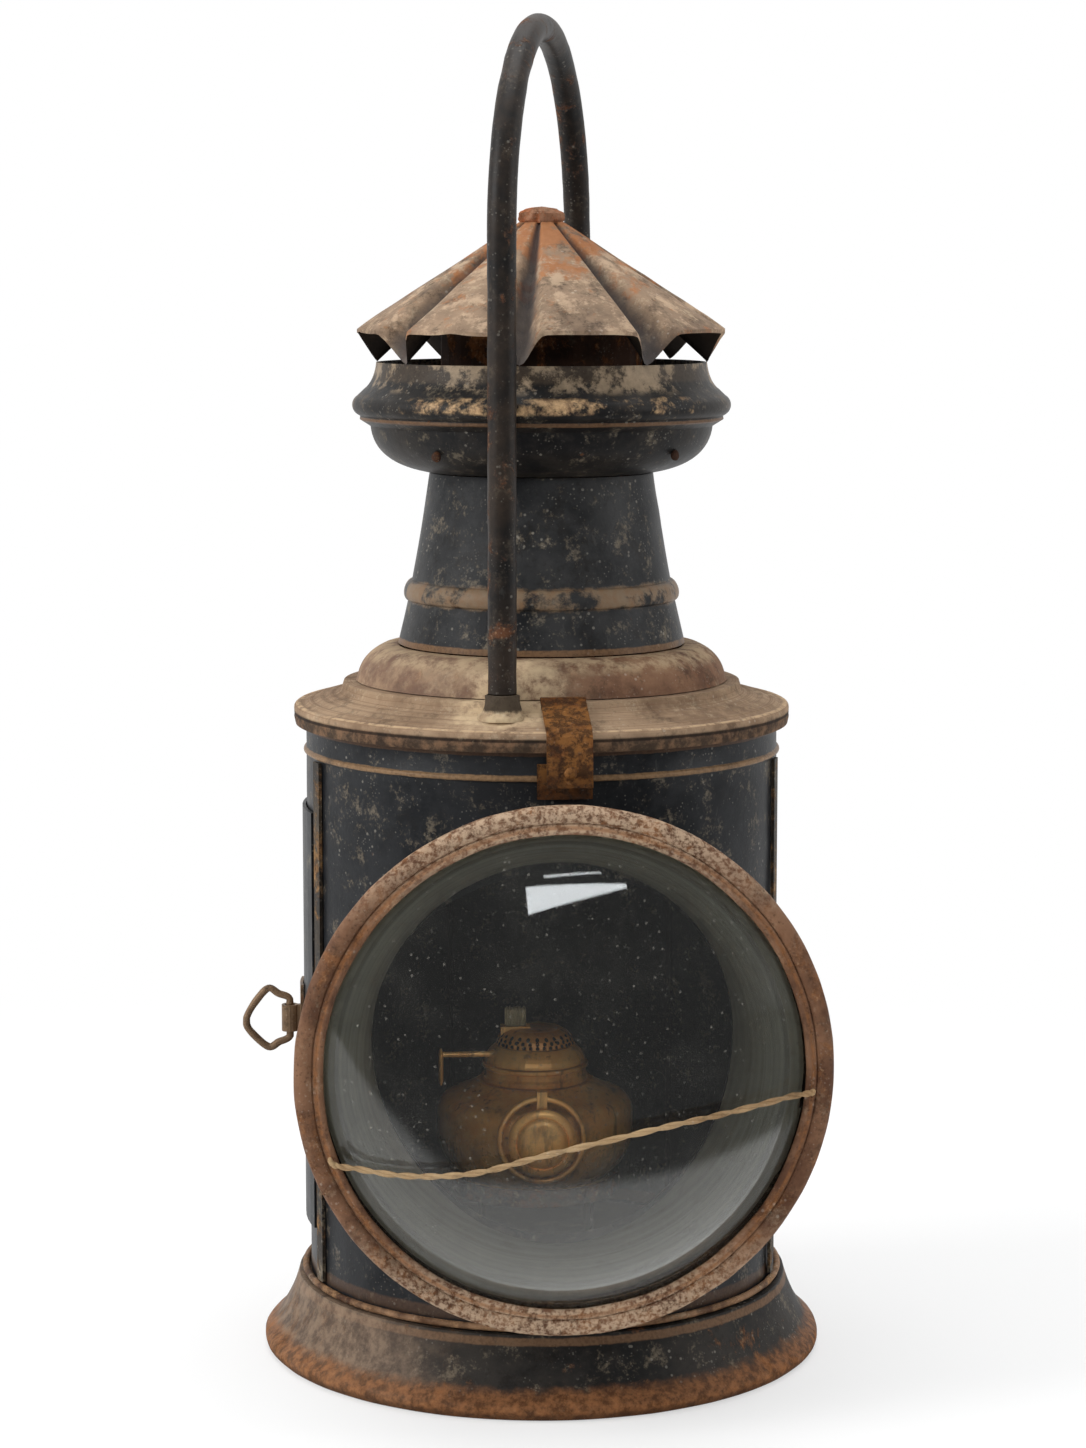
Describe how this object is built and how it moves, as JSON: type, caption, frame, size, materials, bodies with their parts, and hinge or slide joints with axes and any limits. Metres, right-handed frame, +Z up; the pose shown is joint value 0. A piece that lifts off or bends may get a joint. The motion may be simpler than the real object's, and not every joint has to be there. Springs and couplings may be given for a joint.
{
  "type": "railway signal lantern",
  "caption": "Round sheet-metal signal lantern with a domed lens hood, side door, oil lamp inside, hinged vented top and an arched carrying handle.",
  "frame": {"origin": "middle of the flat underside, on the axis of the round case", "axes": "+Z up along the case axis, -Y out through the lens, +X towards the lantern's right side seen from the lens"},
  "size_m": [0.1756, 0.1959, 0.3999],
  "materials": {
    "rusted_base": "rusted and scuffed",
    "case_paint": "worn black japanned paint with dust",
    "hood_paint": "worn paint, grey-green inside",
    "bezel_rust": "brown rust with scuffs",
    "glass": "clear, dusty",
    "wire_steel": "tarnished and rusty",
    "door_brass": "dull",
    "lamp_brass": "aged",
    "tray_iron": "crusted",
    "wick_cotton": "frayed",
    "lid_steel": "cream dust over rust",
    "dome_steel": "pinkish brown with dust",
    "chimney_paint": "worn black paint",
    "flue_rust": "brown rust",
    "roof_steel": "grey beige, weathered",
    "handle_steel": "dark with rust patches",
    "strap_rust": "orange rust"
  },
  "bodies": {
    "case": {"base_skirt": "rusted_base", "base_plate": "rusted_base", "foot_bead": "rusted_base", "case_floor": "case_paint", "case_shell": "case_paint", "left_seam_strip": "case_paint", "right_seam_strip": "case_paint", "left_inner_guide": "case_paint", "right_inner_guide": "case_paint", "lens_hood": "hood_paint", "lens_glass": "glass", "lens_bezel": "bezel_rust", "retaining_wire": "wire_steel", "door_hinge_leaf": "case_paint", "door_hinge_pin": "rusted_base", "tray_bracket": "case_paint", "lamp_tray": "tray_iron", "font": "lamp_brass", "burner_collar": "lamp_brass", "burner_body": "lamp_brass", "burner_cap": "lamp_brass", "wick_tube": "lamp_brass", "strap_keeper": "strap_rust", "top_hinge_leaf_case": "strap_rust", "top_hinge_pin": "strap_rust"},
    "top": {"top_flange": "lid_steel", "dome": "dome_steel", "chimney": "chimney_paint", "flue_tube": "flue_rust", "cowl": "chimney_paint", "cowl_rivet_1": "flue_rust", "cowl_rivet_2": "flue_rust", "cowl_rivet_3": "flue_rust", "cowl_rivet_4": "flue_rust", "roof": "roof_steel", "roof_finial": "flue_rust", "handle": "handle_steel", "handle_foot_front": "lid_steel", "handle_foot_back": "lid_steel", "front_strap": "strap_rust", "strap_rivet": "strap_rust", "top_hinge_leaf_top": "strap_rust"},
    "door": {"side_door": "case_paint", "ring_clip": "door_brass"},
    "door_ring": {"door_ring": "door_brass"},
    "winder": {"wick_winder": "lamp_brass"},
    "wick": {"wick": "wick_cotton"},
    "font_ring": {"font_ring": "lamp_brass"},
    "filler_cap": {"filler_cap": "lamp_brass"}
  },
  "joints": [
    {"name": "top_tilt", "type": "hinge", "parent": "case", "child": "top", "pos_m": [0, 0.0779, 0.1895], "axis": [-1, 0, 0], "range_deg": [0, 95]},
    {"name": "door_swing", "type": "hinge", "parent": "case", "child": "door", "pos_m": [-0.04461, 0.06029, 0.103], "axis": [0, 0, -1], "range_deg": [0, 110]},
    {"name": "door_ring_turn", "type": "hinge", "parent": "door", "child": "door_ring", "pos_m": [-0.07645, 0.00267, 0.1], "axis": [0, 0, 1], "range_deg": [-80, 80]},
    {"name": "winder_turn", "type": "hinge", "parent": "case", "child": "winder", "pos_m": [-0.0174, -0.0036, 0.0891], "axis": [1, 0, 0], "range_deg": [-40, 70]},
    {"name": "wick_rise", "type": "slide", "parent": "case", "child": "wick", "axis": [0, 0, 1], "range_m": [-0.0027, 0.0048]},
    {"name": "font_ring_swing", "type": "hinge", "parent": "case", "child": "font_ring", "pos_m": [-0.002, -0.0294, 0.08105], "axis": [-1, 0, 0], "range_deg": [0, 90]},
    {"name": "filler_cap_turn", "type": "hinge", "parent": "case", "child": "filler_cap", "pos_m": [-0.002, -0.0317, 0.0685], "axis": [0, -1, 0], "continuous": true}
  ],
  "couplings": [
    {"joint": "winder_turn", "follows": "wick_rise", "rad_per_m": 250}
  ]
}
